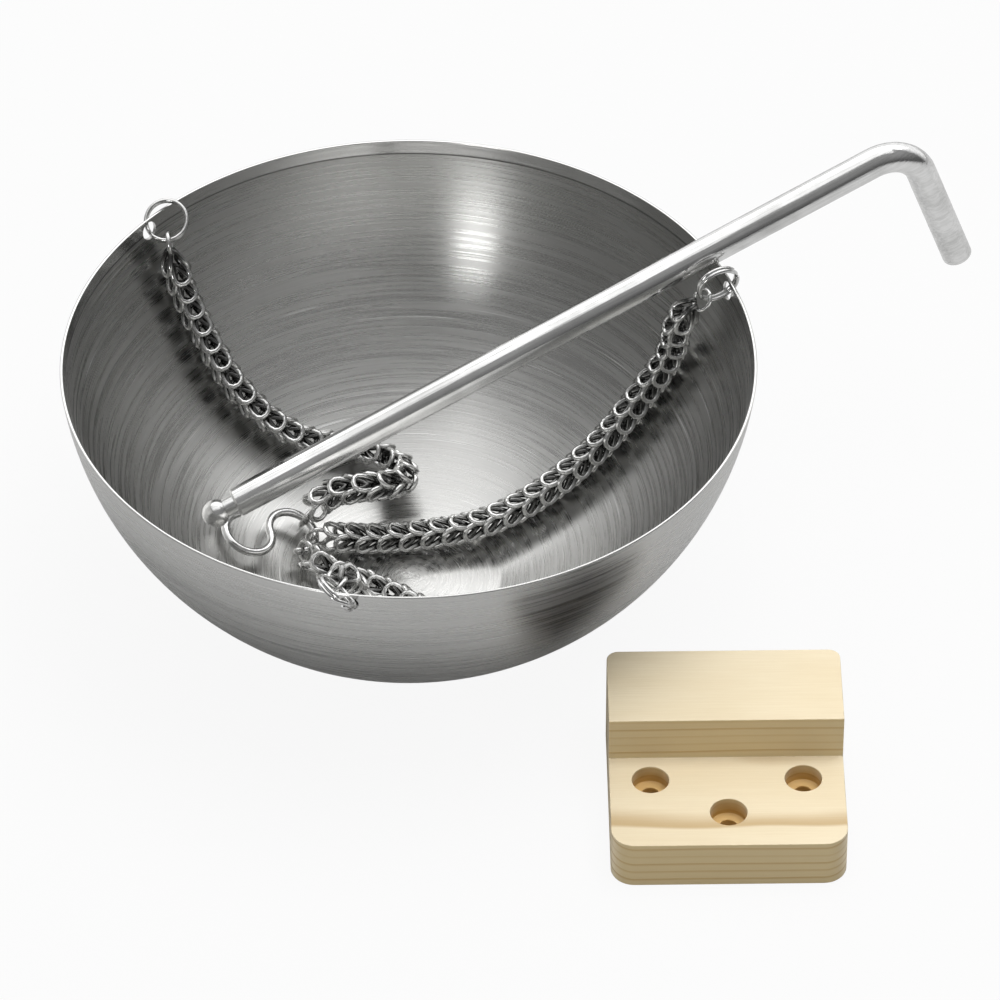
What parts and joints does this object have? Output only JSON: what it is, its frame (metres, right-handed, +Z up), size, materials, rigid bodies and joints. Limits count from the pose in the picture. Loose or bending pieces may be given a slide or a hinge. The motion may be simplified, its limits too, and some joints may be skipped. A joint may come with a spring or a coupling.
{
  "type": "hanging bowl with swing arm",
  "caption": "Round steel bowl with flat base, chains on split rings, an S-hook, an L-shaped swing arm laid across the rim and a wooden wall block beside it.",
  "frame": {"origin": "centre of the bowl's flat underside, on the surface it stands on", "axes": "+Z up along the bowl's axis, +X to the right and +Y away from the front; the arm runs over the rim on the +X side and the block lies at +X, -Y"},
  "size_m": [0.2397, 0.205, 0.1022],
  "materials": {
    "bowl_steel": "fine circumferential brushing, satin",
    "ring_steel": "polished wire",
    "chain_steel": "polished wire",
    "hook_steel": "polished wire",
    "arm_steel": "polished round bar",
    "block_wood": "planed softwood, uncoated"
  },
  "bodies": {
    "pot": {"bowl": "bowl_steel", "chain_1": "chain_steel", "chain_2": "chain_steel", "chain_3": "chain_steel", "chain_1_rim_link": "chain_steel", "chain_1_hook_link": "chain_steel", "chain_2_rim_link": "chain_steel", "chain_2_hook_link": "chain_steel", "chain_3_rim_link": "chain_steel", "chain_3_hook_link": "chain_steel"},
    "rim_ring_1": {"rim_ring_1": "ring_steel"},
    "rim_ring_2": {"rim_ring_2": "ring_steel"},
    "rim_ring_3": {"rim_ring_3": "ring_steel"},
    "hook": {"s_hook": "hook_steel"},
    "arm": {"swing_arm": "arm_steel"},
    "block": {"wall_block": "block_wood"}
  },
  "joints": [
    {"name": "rim_ring_1_turn", "type": "hinge", "parent": "pot", "child": "rim_ring_1", "pos_m": [-0.06343, 0.059, 0.07557], "axis": [0.101, 0.5668, -0.8177], "continuous": true},
    {"name": "rim_ring_2_turn", "type": "hinge", "parent": "pot", "child": "rim_ring_2", "pos_m": [0.08081, 0.02834, 0.07782], "axis": [-0.4002, 0.8975, 0.1851], "continuous": true},
    {"name": "rim_ring_3_turn", "type": "hinge", "parent": "pot", "child": "rim_ring_3", "pos_m": [-0.0186, -0.0887, 0.0779], "axis": [-0.6692, -0.3431, -0.6592], "continuous": true},
    {"name": "hook_turn", "type": "hinge", "parent": "pot", "child": "hook", "pos_m": [-0.0313, 0.0097, 0.0091], "axis": [0.3679, -0.1145, 0.9228], "range_deg": [-55, 8]},
    {"name": "arm_lift", "type": "slide", "parent": "pot", "child": "arm", "axis": [0, 0, 1], "range_m": [0, 0.12]},
    {"name": "block_lift", "type": "slide", "parent": "pot", "child": "block", "axis": [0, -0.6, 0.8], "range_m": [0, 0.08]}
  ]
}
